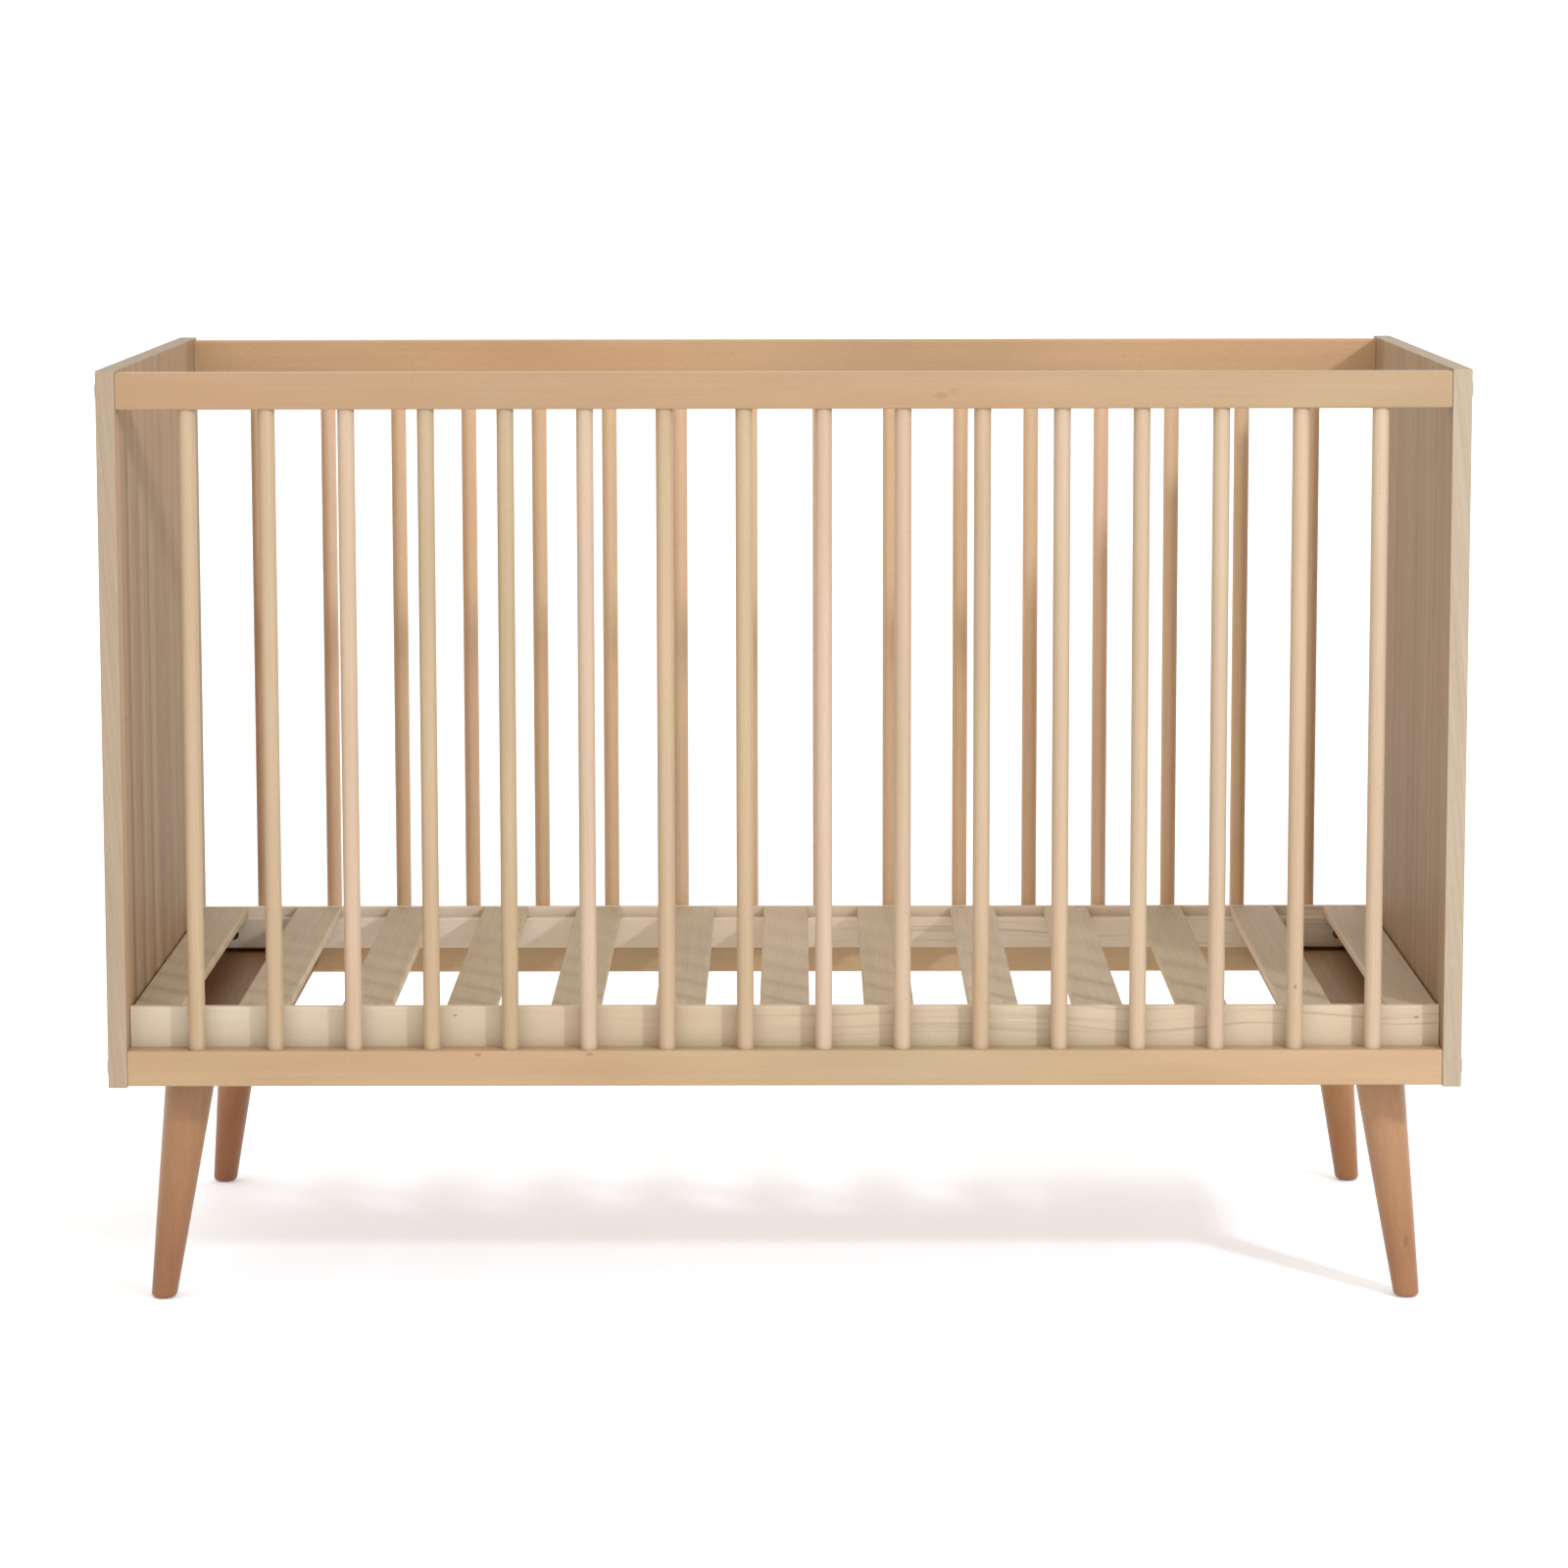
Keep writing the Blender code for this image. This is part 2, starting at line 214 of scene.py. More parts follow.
def material(name):
    made = bpy.data.materials.new(name)
    made.use_nodes = True
    return made, Graph(made.node_tree), made.node_tree.nodes["Principled BSDF"]


def link(obj):
    bpy.context.scene.collection.objects.link(obj)


# Woods


def grain_space(graph, grain, pitch=None, offset=0.0, rows=False, lean=0.0):
    """(coordinates with the grain along Z, a random value for each piece or None, the plain coordinates)."""
    plain = graph.coordinates("Object")
    x, y, z = graph.split(plain)
    parts = ((y, z, x), (z, x, y), (x, y, z))[grain]
    number = None
    if lean:
        # The four legs are laid over one another, with their slant taken out
        slide = graph.times(z, lean)
        parts = (graph.plus(graph.absolute(x), slide), graph.plus(graph.absolute(y), slide), z)
        number = graph.plus(graph.times(graph.sign(y), 3), graph.sign(x))
    if pitch:
        number = graph.math("FLOOR", graph.plus(graph.times(x, 1 / pitch), offset))
        if rows:
            number = graph.plus(number, graph.times(graph.sign(y), 50))
    if number is None:
        return graph.join(*parts), None, plain
    chance = graph.random(number)
    along = graph.plus(parts[2], graph.times(chance, 9.0))
    return graph.join(parts[0], parts[1], along), chance, plain


def edge_mask(graph, reach):
    """1 near a convex edge, falling to 0 at that distance from it."""
    sockets = {"Distance": reach}
    node = graph.add("ShaderNodeAmbientOcclusion", sockets, inside=True, only_local=True, samples=6)
    return graph.spread(node.outputs["AO"], 0.95, 0.45)


def growth_rings(graph, across, deep, along, pith, pitch):
    """0 to 1 through the yearly rings, around a pith that runs along the grain."""
    from_pith = graph.join(graph.minus(across, pith[0]), graph.minus(deep, pith[1]), 0.0)
    years = graph.times(graph.length(from_pith), 1 / pitch)
    ring = graph.noise(graph.join(years, 0.0, graph.times(along, 2.5)), detail=3, roughness=0.6)
    return graph.spread(ring, 0.32, 0.68)


def streak_mask(graph, across, deep, along, start, end):
    """Wavy lines along the grain that set in between start and end."""
    sway = graph.noise(graph.join(0.0, 4.0, graph.times(along, 4.0)), detail=1)
    sway = graph.plus(deep, graph.times(sway, 0.045))
    place = graph.join(graph.times(across, 60), graph.times(sway, 190), graph.times(along, 2.6))
    lines = graph.spread(graph.noise(place, detail=2), 0.54, 0.68)
    return graph.times(lines, graph.spread(along, start, end, smooth=True))


def scattered_knots(graph, place, rarity):
    """1 at pin knots, which only that share of the pattern's cells has."""
    sockets = {"Vector": graph.scaled(place, (14, 14, 6)), "Scale": 1.0, "Randomness": 1.0}
    spots = graph.add("ShaderNodeTexVoronoi", sockets)
    chosen = graph.math("LESS_THAN", graph.split(spots.outputs["Color"])[0], rarity)
    return graph.times(graph.spread(spots.outputs["Distance"], 0.030, 0.010, smooth=True), chosen)


def knot_mask(graph, plain, grain, centre, radius):
    """1 at one small knot, which is drawn out along the grain."""
    factors = [1.0, 1.0, 1.0]
    factors[grain] = 0.5
    offset = graph.scaled(graph.vector("SUBTRACT", plain, centre), tuple(factors))
    return graph.spread(graph.length(offset), radius, radius * 0.35, smooth=True)


def wood(
    name,
    grain,
    light,
    dark,
    fleck,
    pith=(0.21, -0.13),
    ring_pitch=0.0040,
    ring_share=0.35,
    fibre_share=0.35,
    patch_share=0.40,
    fleck_share=0.5,
    roughness=0.45,
    bump=0.00003,
    lacquer=0.0,
    specular=0.5,
    edge_share=0.35,
    pin_knots=0.0,
    knots=(),
    streaks=(),
    hue_share=0.5,
    side_highlight=PLAIN,
    tints=(),
    **space,
):
    """A planed or turned solid wood. Its figure is cut from one 3-D pattern, so it runs on round the edges.
    A knot is (centre, radius, strength), a streak (start, end, tone, share) along the grain, and a tint
    (axis, low, high, factors at low, factors at high)."""
    made, graph, shader = material(name)
    place, chance, plain = grain_space(graph, grain, **space)
    across, deep, along = graph.split(place)
    wander = graph.noise(graph.scaled(place, (4, 4, 1.6)), detail=1)
    across = graph.plus(across, graph.times(graph.minus(wander, 0.5), 0.016))

    ring = growth_rings(graph, across, deep, along, pith, ring_pitch)
    fibre = graph.noise(graph.scaled(place, (950, 950, 14)), detail=3, roughness=0.65)
    fibre = graph.spread(fibre, 0.30, 0.70)
    patch = graph.spread(graph.noise(graph.scaled(place, (9, 9, 2.3)), detail=2), 0.34, 0.66, smooth=True)
    depth = graph.plus(graph.times(ring, ring_share), graph.times(fibre, fibre_share))
    depth = graph.plus(depth, graph.times(patch, patch_share), clamp=True)
    colour = graph.mix(depth, light, dark)
    hue = graph.spread(graph.noise(graph.scaled(place, (6, 6, 1.3)), detail=2), 0.36, 0.64)
    colour = graph.mix(hue_share, colour, graph.mix(hue, WARM, COOL), "MULTIPLY")

    for start, end, tone, share in streaks:
        lines = streak_mask(graph, across, deep, along, start, end)
        colour = graph.mix(graph.times(lines, share), colour, tone)
    flecks = graph.noise(graph.scaled(place, tuple(1 / size for size in FLECK_SIZE)), detail=1)
    flecks = graph.spread(flecks, FLECK_RARITY, FLECK_RARITY + 0.08)
    colour = graph.mix(graph.times(flecks, fleck_share), colour, fleck)
    if chance is not None:
        tone = graph.math("MULTIPLY_ADD", chance, 0.16, 0.92)
        colour = graph.tint(colour, graph.join(tone, tone, graph.times(tone, tone)))
    if pin_knots:
        found = scattered_knots(graph, place, pin_knots)
        colour = graph.mix(graph.times(found, SCATTERED_KNOT_SHARE), colour, KNOT)
    for centre, radius, strength in knots:
        found = knot_mask(graph, plain, grain, centre, radius)
        colour = graph.mix(graph.times(found, strength), colour, KNOT)

    # Edges are drawn lighter: partly thinned finish on the arris, partly a painted highlight
    worn_and_highlit = tuple(min(1.0, 1.35 * channel) for channel in light)
    colour = graph.mix(graph.times(edge_mask(graph, ARRIS_REACH), edge_share), colour, worn_and_highlit)
    for axis, low, high, low_factors, high_factors in tints:
        share = graph.spread(graph.split(plain)[axis], low, high)
        colour = graph.tint(colour, graph.mix(share, low_factors, high_factors))
    # Painted highlight: faces turned along X, such as the slats' sides, are lightened by side_highlight
    lit_side_mask = graph.absolute(graph.split(graph.coordinates("Normal"))[X])
    lit_side_mask = graph.spread(lit_side_mask, 0.70, 0.90)
    colour = graph.tint(colour, graph.mix(lit_side_mask, PLAIN, side_highlight))

    graph.fill(shader.inputs["Base Color"], colour)
    graph.fill(shader.inputs["Roughness"], graph.math("MULTIPLY_ADD", fibre, 0.14, roughness - 0.07))
    shader.inputs["Specular IOR Level"].default_value = specular
    shader.inputs["Coat Weight"].default_value = lacquer
    shader.inputs["Coat Roughness"].default_value = 0.28
    graph.bump(shader, graph.minus(fibre, graph.times(flecks, 0.8)), bump)
    return made


def oak_face(graph, x, y, z):
    """(colour, fibre, pores) of an end panel's faces: two leaves of oak with a vertical figure."""
    leaf = graph.math("FLOOR", graph.plus(graph.times(y, 1 / OAK_LEAF_WIDTH), 0.42))
    chance = graph.random(graph.plus(leaf, graph.times(graph.sign(x), 11)))
    middle = graph.times(graph.plus(leaf, 0.08), OAK_LEAF_WIDTH)
    wander = graph.noise(graph.join(graph.times(y, 7), chance, graph.times(z, 2.2)), detail=2)
    wander = graph.times(graph.minus(wander, 0.5), 0.045)
    across = graph.plus(graph.minus(y, middle), wander)
    lean = graph.plus(graph.times(z, 0.085), graph.times(chance, 0.03))
    rings = graph.length(graph.join(across, lean, 0.0))

    place = graph.join(graph.times(rings, 210), graph.times(chance, 40), graph.times(z, 1.2))
    ring = graph.spread(graph.noise(place, detail=3, roughness=0.55), 0.30, 0.70)

    def lengthwise(y_rate, z_rate, detail=2):
        """Noise drawn out along the grain."""
        return graph.noise(graph.join(graph.times(y, y_rate), chance, graph.times(z, z_rate)), detail=detail)

    stripe = graph.spread(lengthwise(34, 0.5), 0.36, 0.64, smooth=True)
    ribbon = graph.spread(lengthwise(130, 0.8), 0.38, 0.66)
    fibre = graph.spread(lengthwise(1400, 22), 0.32, 0.68)
    pores = graph.times(graph.spread(lengthwise(2300, 130, detail=1), 0.60, 0.70), ring)
    depth = graph.plus(graph.times(ring, 0.26), graph.times(stripe, 0.36))
    depth = graph.plus(depth, graph.times(ribbon, 0.24))
    depth = graph.plus(depth, graph.times(fibre, 0.18), clamp=True)
    colour = graph.mix(depth, OAK_LIGHT, OAK_DARK)

    # On the left panel a dark line runs down near the front edge, and the wood in front of it is lighter
    on_left = graph.spread(x, 0.0, -0.1)
    bend = graph.plus(y, graph.times(wander, 0.08))
    from_line = graph.absolute(graph.minus(bend, OAK_LINE_Y))
    line = graph.times(graph.spread(from_line, 0.0060, 0.0015, smooth=True), on_left)
    colour = graph.mix(graph.times(line, 0.45), colour, OAK_PORE)
    in_front = graph.times(graph.spread(bend, OAK_LINE_Y + 0.002, OAK_LINE_Y - 0.002), on_left)
    colour = graph.mix(in_front, colour, graph.tint(colour, (1.12, 1.09, 1.08)))
    return graph.mix(graph.times(pores, 0.55), colour, OAK_PORE), fibre, pores


def oak_band(graph, x, along, shaded_top):
    """Colour of the edges' band, whose figure runs a little across its length, like a flame."""
    slant = graph.math("MULTIPLY_ADD", x, 520.0, graph.times(along, 46.0))
    flame = graph.noise(graph.join(slant, graph.times(along, 5.0), 3.0), detail=3, roughness=0.6)
    flame = graph.spread(flame, 0.34, 0.66)
    thread_place = graph.join(graph.times(x, 2600), graph.times(along, 90), 7.0)
    threads = graph.spread(graph.noise(thread_place, detail=2), 0.36, 0.64)
    depth = graph.plus(graph.times(flame, 0.55), graph.times(threads, 0.40), clamp=True)
    colour = graph.mix(depth, BAND_LIGHT, BAND_DARK)
    # Painted shade: the band's top faces are darkened
    colour = graph.mix(shaded_top, colour, graph.tint(colour, (0.87, 0.91, 0.96)))
    # Painted light: the right panel's band is lighter and the left panel's darker
    light_from_right = graph.mix(graph.spread(x, -0.1, 0.1), (0.98, 0.96, 0.98), (1.03, 1.06, 1.09))
    return graph.tint(colour, light_from_right)


def oak_effect(name):
    """Board with an oak figure on its faces and a lighter band on its edges."""
    made, graph, shader = material(name)
    x, y, z = graph.split(graph.coordinates("Object"))
    normal = [graph.absolute(part) for part in graph.split(graph.coordinates("Normal"))]
    board, fibre, pores = oak_face(graph, x, y, z)
    band = oak_band(graph, x, graph.plus(z, y), graph.spread(normal[Z], 0.60, 0.80))
    colour = graph.mix(graph.spread(normal[X], 0.60, 0.75), band, board)
    # Painted highlight: a light line along the panel's arrises
    colour = graph.mix(graph.times(edge_mask(graph, 0.0016), 0.45), colour, OAK_ARRIS_HIGHLIGHT)
    graph.fill(shader.inputs["Base Color"], colour)
    graph.fill(shader.inputs["Roughness"], graph.math("MULTIPLY_ADD", fibre, 0.12, 0.50))
    shader.inputs["Specular IOR Level"].default_value = 0.10
    graph.bump(shader, graph.minus(graph.times(fibre, 0.5), pores), 0.00004)
    return made


def zinc(name, light, dark):
    """Zinc-plated steel: faint clouds of colour, fine scratches, brighter edges."""
    made, graph, shader = material(name)
    place = graph.coordinates("Object")
    clouds = graph.noise(graph.scaled(place, (240, 240, 240)), detail=3)
    clouds = graph.spread(clouds, 0.35, 0.65, smooth=True)
    scratches = graph.noise(graph.scaled(place, (5200, 420, 5200)), detail=2)
    scratches = graph.spread(scratches, 0.56, 0.70)
    colour = graph.mix(graph.times(scratches, 0.35), graph.mix(clouds, dark, light), SCRATCH)
    edges = graph.times(edge_mask(graph, 0.0006), 0.5)
    colour = graph.mix(edges, colour, tuple(1.25 * channel for channel in light))
    graph.fill(shader.inputs["Base Color"], colour)
    shader.inputs["Metallic"].default_value = 1.0
    graph.fill(shader.inputs["Roughness"], graph.math("MULTIPLY_ADD", clouds, 0.16, 0.27))
    graph.bump(shader, scratches, 0.00001, 0.6)
    return made


def smoothing():
    """Joins a node's faces at their shared corners and shades them smooth up to a 50 degree edge."""
    tree = bpy.data.node_groups.new("smooth_by_angle", "GeometryNodeTree")
    tree.interface.new_socket("Geometry", in_out="INPUT", socket_type="NodeSocketGeometry")
    tree.interface.new_socket("Geometry", in_out="OUTPUT", socket_type="NodeSocketGeometry")
    graph = Graph(tree)
    source = graph.add("NodeGroupInput").outputs[0]
    merged = graph.add("GeometryNodeMergeByDistance", {"Geometry": source, "Distance": 1e-6}).outputs[0]
    plain = graph.add("GeometryNodeRemoveAttribute", {"Geometry": merged, "Name": "custom_normal"}).outputs[0]
    smooth = graph.add("GeometryNodeSetShadeSmooth", {"Geometry": plain, "Shade Smooth": True}, domain="FACE")
    angle = graph.add("GeometryNodeInputMeshEdgeAngle").outputs["Unsigned Angle"]
    crisp = graph.math("GREATER_THAN", angle, math.radians(50))
    split = graph.add(
        "GeometryNodeSetShadeSmooth",
        {"Geometry": smooth.outputs[0], "Selection": crisp, "Shade Smooth": False},
        domain="EDGE",
    )
    target = graph.add("NodeGroupOutput")
    tree.links.new(split.outputs[0], target.inputs[0])
    return tree


def dress(obj, finish, smoother):
    """Gives a CAD node its finish and clean shading."""
    for index in range(len(obj.data.materials)):
        obj.data.materials[index] = finish
    obj.modifiers.new("smooth_by_angle", "NODES").node_group = smoother
    weights = obj.modifiers.new("even_faces", "WEIGHTED_NORMAL")
    weights.keep_sharp = True


def finishes():
    """The finish for each CAD node, by what its name contains."""
    rail = wood(
        "beech_rail", X, BEECH_LIGHT, BEECH_DARK, BEECH_FLECK,
        roughness=0.42, lacquer=0.05, specular=0.25, ring_share=0.18, fibre_share=0.24, patch_share=0.50,
        fleck_share=0.45, pin_knots=0.05, hue_share=0.6, edge_share=0.12,
        knots=(
            ((0.146, -0.329, 0.868), 0.0042, 0.22),
            ((0.157, -0.329, 0.872), 0.0032, 0.12),
            ((-0.289, -0.329, 0.2476), 0.0022, 0.45),
            ((-0.184, -0.329, 0.248), 0.0022, 0.40),
        ),
        tints=(
            # Painted shade: the front rails are darker than the rear ones
            (Y, *FRONT_TO_REAR, (0.87, 0.92, 0.93), (1.02, 1.035, 0.985)),
            (Z, 0.4, 0.6, (1.10, 1.08, 1.03), (1.015, 0.95, 0.91)),
        ),
    )
    bar = wood(
        "beech_bar", Z, BAR_LIGHT, BAR_DARK, BEECH_FLECK,
        pitch=BAR_PITCH, rows=True, roughness=0.40, lacquer=0.06, specular=0.28, fleck_share=0.30,
        ring_pitch=0.0026, ring_share=0.25, edge_share=0.2, pin_knots=0.03, hue_share=0.2,
        knots=(((0.481, -0.325, 0.311), 0.0018, 0.55),),
        # Painted light: the rear bars are lighter than the front ones
        tints=((Y, *FRONT_TO_REAR, (0.95, 0.93, 0.92), (1.24, 1.12, 1.04)),),
    )
    leg = wood(
        "beech_leg", Z, LEG_LIGHT, LEG_DARK, LEG_FLECK,
        lean=LEG_SHEAR, roughness=0.40, lacquer=0.20, fleck_share=0.40,
        pith=(0.597, 0.2765), ring_pitch=0.0034, ring_share=0.30, pin_knots=0.16, hue_share=0.4,
        knots=(((0.595, -0.2745, 0.055), 0.0044, 0.50), ((0.601, -0.262, 0.096), 0.0030, 0.55)),
        tints=(
            # Painted light and shade: the right legs lighter, the rear legs and the feet darker
            (X, *LEFT_TO_RIGHT, (1.01, 0.95, 0.78), (1.31, 1.38, 1.36)),
            (Y, *FRONT_TO_REAR, PLAIN, (0.95, 0.88, 0.62)),
            (Z, 0.04, 0.17, (0.74, 0.59, 0.42), PLAIN),
        ),
    )
    base = wood(
        "pale_base_rail", X, BASE_LIGHT, BASE_DARK, BASE_STREAK,
        roughness=0.62, ring_pitch=0.0065, ring_share=0.40, fibre_share=0.18, patch_share=0.35,
        pith=(0.05, 0.24), bump=0.00006, pin_knots=0.12, fleck_share=0.25, hue_share=0.25,
        streaks=((-0.25, 0.30, BASE_STREAK, 0.55),),
        knots=(((0.598, -0.304, 0.278), 0.0018, 0.6), ((-0.312, -0.304, 0.281), 0.0016, 0.5)),
        tints=(
            # Painted light: the rear base rail is lighter than the front one
            (Y, *FRONT_TO_REAR, PLAIN, (1.16, 1.19, 1.27)),
            (X, -0.45, -0.10, (1.05, 1.10, 1.16), (0.96, 0.90, 0.86)),
            (X, 0.05, 0.35, PLAIN, (1.02, 1.05, 1.07)),
        ),
    )
    slat = wood(
        "raw_slat", Y, SLAT_LIGHT, SLAT_DARK, SLAT_FLECK,
        pitch=SLAT_PITCH, offset=0.5, roughness=0.62, ring_pitch=0.0048, ring_share=0.30,
        fibre_share=0.28, patch_share=0.35, pith=(0.19, 0.02), bump=0.00006, pin_knots=0.16,
        # The slats' side faces get a painted highlight
        hue_share=0.25, edge_share=0.2, side_highlight=(1.30, 1.27, 1.24),
        tints=((Z, 0.0, 0.1, PLAIN, (1.03, 1.00, 0.98)),),
    )
    board = wood(
        "leg_board_wood", Y, BOARD_LIGHT, BOARD_DARK, BEECH_FLECK,
        roughness=0.55, ring_pitch=0.0060, ring_share=0.45, pith=(0.12, 0.30), bump=0.00005,
        # Painted light and shade: the right leg board lighter, the left one darker
        pin_knots=0.15, tints=((X, *LEFT_TO_RIGHT, (0.84, 0.69, 0.44), (1.27, 1.20, 1.11)),),
    )
    return {
        "end_panel": oak_effect("oak_effect_board"),
        "leg_board": board,
        "bed_base": base,
        "slat": slat,
        "bar": bar,
        "leg": leg,
        "rail": rail,
    }


def dress_nodes():
    smoother = smoothing()
    finish_of = finishes()
    for name, obj in NODES.items():
        key = next(key for key in finish_of if key in name)
        dress(obj, finish_of[key], smoother)


# Fasteners


def turned(name, levels, sides=32):
    """A closed turned mesh, from its lowest level to its highest. A level is (size, height, shape), and a hex
    level's size is half its width across the flats. A size of 0 closes the end to a point."""
    bm = bmesh.new()
    loops = []
    for size, height, shape in levels:
        if size == 0:
            loops.append([bm.verts.new((0, 0, height))])
            continue
        loop = []
        for step in range(sides):
            angle = 2 * math.pi * step / sides
            radius = size
            if shape == "hex":
                radius = size / math.cos((angle + math.pi / 6) % (math.pi / 3) - math.pi / 6)
            loop.append(bm.verts.new((radius * math.cos(angle), radius * math.sin(angle), height)))
        loops.append(loop)
    for low, high in zip(loops, loops[1:]):
        for step in range(sides):
            after = (step + 1) % sides
            if len(low) == 1:
                corners = (low[0], high[after], high[step])
            elif len(high) == 1:
                corners = (low[step], low[after], high[0])
            else:
                corners = (low[step], low[after], high[after], high[step])
            bm.faces.new(corners)
    bmesh.ops.recalc_face_normals(bm, faces=bm.faces)
    mesh = bpy.data.meshes.new(name)
    bm.to_mesh(mesh)
    bm.free()
    mesh.shade_smooth()
    mesh.set_sharp_from_angle(angle=math.radians(35))
    return mesh


def thread(low, high, pitch, crest, root):
    """Levels of a threaded stretch, as ridges."""
    levels = []
    for turn in range(int((high - low) / pitch)):
        start = low + turn * pitch
        for radius, share in ((root, 0), (crest, 0.4), (crest, 0.6)):
            levels.append((radius, start + share * pitch, "round"))
    return levels


def bolt_mesh(name, length, head_radius=0.0075, head_height=0.0016):
    """An M6 furniture bolt with a flat hex socket head. The head's underside is at 0, the tip at -length."""
    crest, root, tip, socket = 0.0029, 0.0025, 0.0020, 0.0020
    thread_low, thread_high = -length + 0.0006, -length + 0.0206
    levels = [(0, -length, "round"), (tip, -length, "round")]
    levels += thread(thread_low, thread_high, 0.001, crest, root)
    levels += [
        (crest, thread_high + 0.0006, "round"),
        (crest, 0, "round"),
        (head_radius - 0.0002, 0, "round"),
        (head_radius, 0.0002, "round"),
        (head_radius, head_height - 0.0006, "round"),
        (head_radius - 0.0003, head_height - 0.0002, "round"),
        (head_radius - 0.0008, head_height, "round"),
        (socket + 0.0004, head_height, "round"),
        (socket, head_height - 0.0003, "hex"),
        (socket, -0.0010, "hex"),
        (0, -0.0018, "round"),
    ]
    return turned(name, levels, 24)


def cross_dowel_mesh(name, radius, length):
    """A cross dowel along Z with a slot in its lower end and the bolt's hole through its middle."""
    chamfer, bore, slot_width, slot_depth = 0.0005, 0.0031, 0.0013, 0.0012
    half = length / 2
    body = bpy.data.objects.new(name, turned(name, [
        (0, -half, "round"),
        (radius - chamfer, -half, "round"),
        (radius, -half + chamfer, "round"),
        (radius, half - chamfer, "round"),
        (radius - chamfer, half, "round"),
        (0, half, "round"),
    ]))
    link(body)
    slot_bm = bmesh.new()
    bmesh.ops.create_cube(slot_bm, size=1)
    bmesh.ops.scale(slot_bm, vec=(3 * radius, slot_width, 2 * slot_depth), verts=slot_bm.verts)
    bmesh.ops.translate(slot_bm, vec=(0, 0, -half), verts=slot_bm.verts)
    bmesh.ops.create_cone(
        slot_bm, cap_ends=True, segments=20, radius1=bore, radius2=bore, depth=4 * radius,
        matrix=Matrix.Rotation(math.pi / 2, 4, "Y"),
    )
    slot_mesh = bpy.data.meshes.new(f"{name}_cutter")
    slot_bm.to_mesh(slot_mesh)
    slot_bm.free()
    tool = bpy.data.objects.new(f"{name}_cutter", slot_mesh)
    link(tool)
    cut = body.modifiers.new("slot_and_bore", "BOOLEAN")
    cut.operation, cut.object = "DIFFERENCE", tool
    graph = bpy.context.evaluated_depsgraph_get()
    mesh = bpy.data.meshes.new_from_object(body.evaluated_get(graph))
    mesh.name = name
    for obj in (body, tool):
        bpy.data.objects.remove(obj)
    return mesh


def stud_mesh(name, length):
    """An M8 stud, threaded all along, with chamfered ends. Its lower end is at 0."""
    crest, root, end, chamfer = 0.0040, 0.0035, 0.0032, 0.0006
    levels = [(0, 0, "round"), (end, 0, "round")]
    levels += thread(chamfer, length - 2 * chamfer, 0.00125, crest, root)
    levels += [(crest - 0.0002, length - chamfer, "round"), (end, length, "round"), (0, length, "round")]
    return turned(name, levels, 24)


def screw_mesh(name, length):
    """A countersunk wood screw with a hex socket. Its head's top is at 0."""
    tip_length, crest, root, head, socket = 0.003, 0.0020, 0.0014, 0.0040, 0.0015
    levels = [(0, -length, "round")]
    levels += thread(-length + tip_length, -0.006, 0.0016, crest, root)
    levels += [
        (crest - 0.0001, -0.0032, "round"),
        (head, -0.0004, "round"),
        (head, -0.0001, "round"),
        (head - 0.0004, 0, "round"),
        (socket, 0, "hex"),
        (socket - 0.0001, -0.0018, "hex"),
        (0, -0.0022, "round"),
    ]
    return turned(name, levels, 24)


def fasten(name, mesh, place, direction, body, finish, spin=0.0):
    """Puts a fastener at a place with its +Z along the direction, riding on a body."""
    obj = bpy.data.objects.new(name, mesh)
    link(obj)
    turn = Vector((0, 0, 1)).rotation_difference(Vector(direction)).to_matrix().to_4x4()
    obj.matrix_world = Matrix.Translation(place) @ turn @ Matrix.Rotation(spin, 4, "Z")
    if not mesh.materials:
        mesh.materials.append(finish)
    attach(obj, body)
    return obj


def middle(name):
    low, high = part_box(name)
    return (low + high) / 2


def fit_bolts(finish, dowel_finish, order):
    """The bolts through the end panels, each with its cross dowel."""
    outer_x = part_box("right_end_panel")[1].x
    rail_end_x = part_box("front_top_rail")[1].x
    board_end_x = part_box("right_leg_board")[1].x
    base_end_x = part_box("bed_base_front_rail")[1].x
    rail_dowel = cross_dowel_mesh("rail_cross_dowel", DOWEL_RADIUS, 0.014)
    board_dowel = cross_dowel_mesh("board_cross_dowel", DOWEL_RADIUS, 0.010)
    base_dowel = cross_dowel_mesh("base_cross_dowel", BASE_DOWEL_RADIUS, 0.012)
    seats = []
    for side, y_sign in SIDES.items():
        for level in ("top", "bottom"):
            centre = middle(f"{side}_{level}_rail")
            seats.append((f"{side}_{level}", centre.y, centre.z, rail_end_x, rail_dowel, (0, 0, 1), "frame"))
        base_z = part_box(f"bed_base_{side}_rail")[0].z + BASE_BOLT_HEIGHT
        base_y = middle(f"bed_base_{side}_rail").y
        seats.append((f"{side}_base", base_y, base_z, base_end_x, base_dowel, (0, y_sign, 0), "bed_base"))
        board_y, board_z = y_sign * BOARD_BOLT_Y, middle("left_leg_board").z
        seats.append((f"{side}_board", board_y, board_z, board_end_x, board_dowel, (0, 0, 1), "frame"))
    meshes = {}
    for place, y, z, end_x, dowel, inwards, body in seats:
        length = outer_x - (end_x - NUT_INSET) + BASE_DOWEL_RADIUS + BOLT_PAST_DOWEL
        key = round(length, 4)
        if key not in meshes:
            meshes[key] = bolt_mesh(f"bolt_{1000 * length:.0f}", length)
        for end, x_sign in ENDS.items():
            head = (x_sign * (outer_x + BOLT_STAND), y, z)
            spin = order.uniform(0, 2 * math.pi)
            fasten(f"{place}_{end}_bolt", meshes[key], head, (x_sign, 0, 0), body, finish, spin)
            seat = (x_sign * (end_x - NUT_INSET), y, z)
            fasten(f"{place}_{end}_cross_dowel", dowel, seat, inwards, body, dowel_finish)


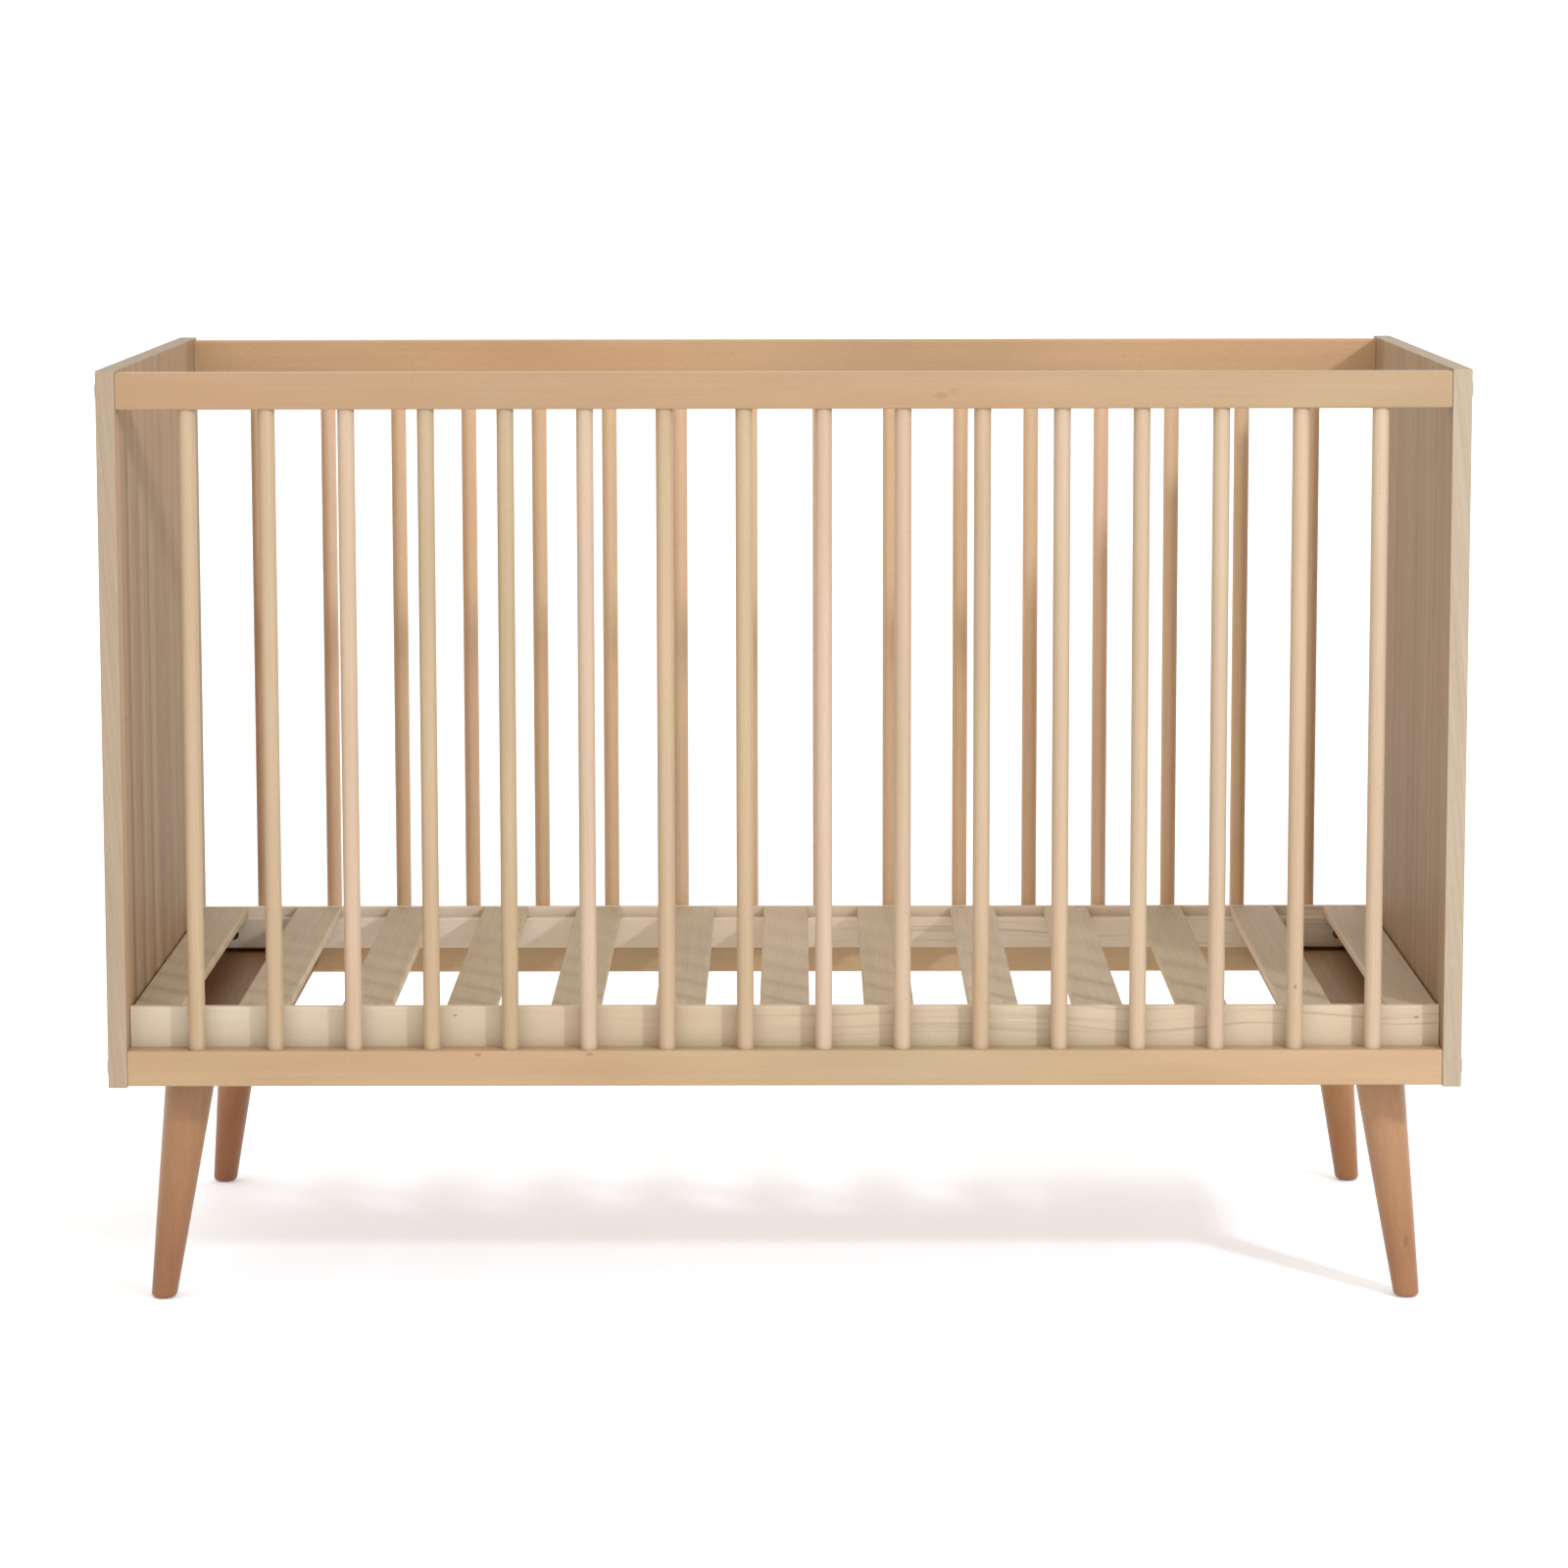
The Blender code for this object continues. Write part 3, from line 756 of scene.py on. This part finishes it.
def fit_legs(finish):
    """The studs that hold the legs, and a small screw at each corner of the leg boards."""
    mesh = stud_mesh("leg_stud", (STUD_IN_LEG + STUD_IN_BOARD) / math.cos(LEG_SPLAY))
    outwards = LEG_SHEAR * STUD_IN_LEG  # how much farther out the stud's lower end is than the leg's top
    for side, y_sign in SIDES.items():
        for end, x_sign in ENDS.items():
            low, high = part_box(f"{side}_{end}_leg")
            x = min(abs(low.x), abs(high.x)) + LEG_TOP_RADIUS + outwards
            y = min(abs(low.y), abs(high.y)) + LEG_TOP_RADIUS + outwards
            foot = Vector((x_sign * x, y_sign * y, high.z - STUD_IN_LEG))
            lean = Vector((-x_sign * LEG_SHEAR, -y_sign * LEG_SHEAR, 1)).normalized()
            fasten(f"{side}_{end}_leg_stud", mesh, foot, lean, "frame", finish)
    screw = screw_mesh("board_screw", SCREW_LENGTH)
    for side, y_sign in SIDES.items():
        for end, x_sign in ENDS.items():
            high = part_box(f"{end}_leg_board")[1]
            place = (x_sign * SCREW_X, y_sign * (high.y - SCREW_INSET), high.z + SCREW_STAND)
            fasten(f"{side}_{end}_board_screw", screw, place, (0, 0, 1), "frame", finish)


def staple_slats(finish, order):
    """Two staples at each end of each slat, driven through it into the base rail's ledge."""
    corner = 0.0006  # the bend between a staple's crown and its leg
    # (share of the half crown, height)
    profile = [(-1, -STAPLE_LEG), (-1, -corner), (-0.82, 0), (0.82, 0), (1, -corner), (1, -STAPLE_LEG)]
    for name in sorted(n for n in NODES if n.startswith("slat_")):
        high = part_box(name)[1]
        curve = bpy.data.curves.new(f"{name}_staples", "CURVE")
        curve.dimensions = "3D"
        curve.bevel_depth = STAPLE_WIRE
        curve.bevel_resolution = 2
        curve.use_fill_caps = True
        for y_sign in SIDES.values():
            for column in (-1, 1):
                x = middle(name).x + column * STAPLE_OFFSET + order.uniform(-0.0015, 0.0015)
                y = y_sign * (high.y - STAPLE_INSET) + order.uniform(-0.0008, 0.0008)
                turn = order.uniform(-0.12, 0.12)
                top = high.z + STAPLE_STAND
                spline = curve.splines.new("POLY")
                spline.points.add(len(profile) - 1)
                for point, (share, height) in zip(spline.points, profile):
                    across = share * STAPLE_HALF_CROWN
                    point.co = (x + across * math.cos(turn), y + across * math.sin(turn), top + height, 1)
        curve.materials.append(finish)
        obj = bpy.data.objects.new(f"{name}_staples", curve)
        link(obj)
        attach(obj, "bed_base")


# Studio


def studio_floor():
    made, graph, shader = material("studio_floor")
    clouds = graph.noise(graph.scaled(graph.coordinates("Object"), (0.7, 0.7, 0.7)), detail=2)
    colour = graph.mix(clouds, (0.90, 0.91, 0.94), (0.92, 0.93, 0.96))
    graph.fill(shader.inputs["Base Color"], colour)
    shader.inputs["Roughness"].default_value = 0.9
    shader.inputs["Specular IOR Level"].default_value = 0.1
    shader.inputs["Emission Color"].default_value = (0.86, 0.92, 1.08, 1)
    shader.inputs["Emission Strength"].default_value = 0.17
    bm = bmesh.new()
    bmesh.ops.create_grid(bm, x_segments=8, y_segments=8, size=30)
    mesh = bpy.data.meshes.new("floor")
    bm.to_mesh(mesh)
    bm.free()
    mesh.materials.append(made)
    floor = bpy.data.objects.new("floor", mesh)
    floor.location.z = -0.0005  # just under the feet
    link(floor)


def softbox(name, place, size, power, colour):
    """A round lamp that points at the middle of the crib."""
    light = bpy.data.lights.new(name, "AREA")
    light.shape = "DISK"
    light.size = size
    light.energy = power
    light.color = colour
    obj = bpy.data.objects.new(name, light)
    obj.location = place
    aim = Vector((0, 0, 0.5)) - Vector(place)
    obj.rotation_euler = aim.to_track_quat("-Z", "Y").to_euler()
    link(obj)


def studio_light():
    world = bpy.data.worlds.new("studio")
    world.use_nodes = True
    background = world.node_tree.nodes["Background"]
    background.inputs["Color"].default_value = (1.0, 0.965, 0.90, 1)
    background.inputs["Strength"].default_value = 1.30
    bpy.context.scene.world = world
    softbox("key", place=(2.3, -2.9, 2.1), size=0.28, power=72, colour=(0.88, 0.97, 1.10))
    softbox("fill", place=(-2.6, -3.6, 1.5), size=2.4, power=12, colour=(0.94, 1.0, 1.05))
    bpy.context.scene.view_settings.view_transform = "Standard"
    bpy.context.scene.view_settings.look = "None"


def camera():
    """Stands about where the photo was taken from, in front of the crib and a little above it."""
    tilt, turn, roll = 7.671, 0.112, 0.090  # degrees
    lens = bpy.data.cameras.new("camera")
    lens.sensor_width = 36
    lens.lens = 117.27
    lens.clip_end = 100
    obj = bpy.data.objects.new("camera", lens)
    obj.location = (0.0101, -5.0666, 1.143)
    obj.rotation_euler = (math.radians(90 - tilt), math.radians(roll), math.radians(turn))
    link(obj)
    bpy.context.scene.camera = obj


dress_nodes()
steel = zinc("zinc_steel", ZINC_LIGHT, ZINC_DARK)
dull_steel = zinc("dull_steel", DULL_LIGHT, DULL_DARK)
jitter = random.Random(11)
fit_bolts(steel, dull_steel, jitter)
fit_legs(steel)
staple_slats(dull_steel, jitter)
studio_floor()
studio_light()
camera()
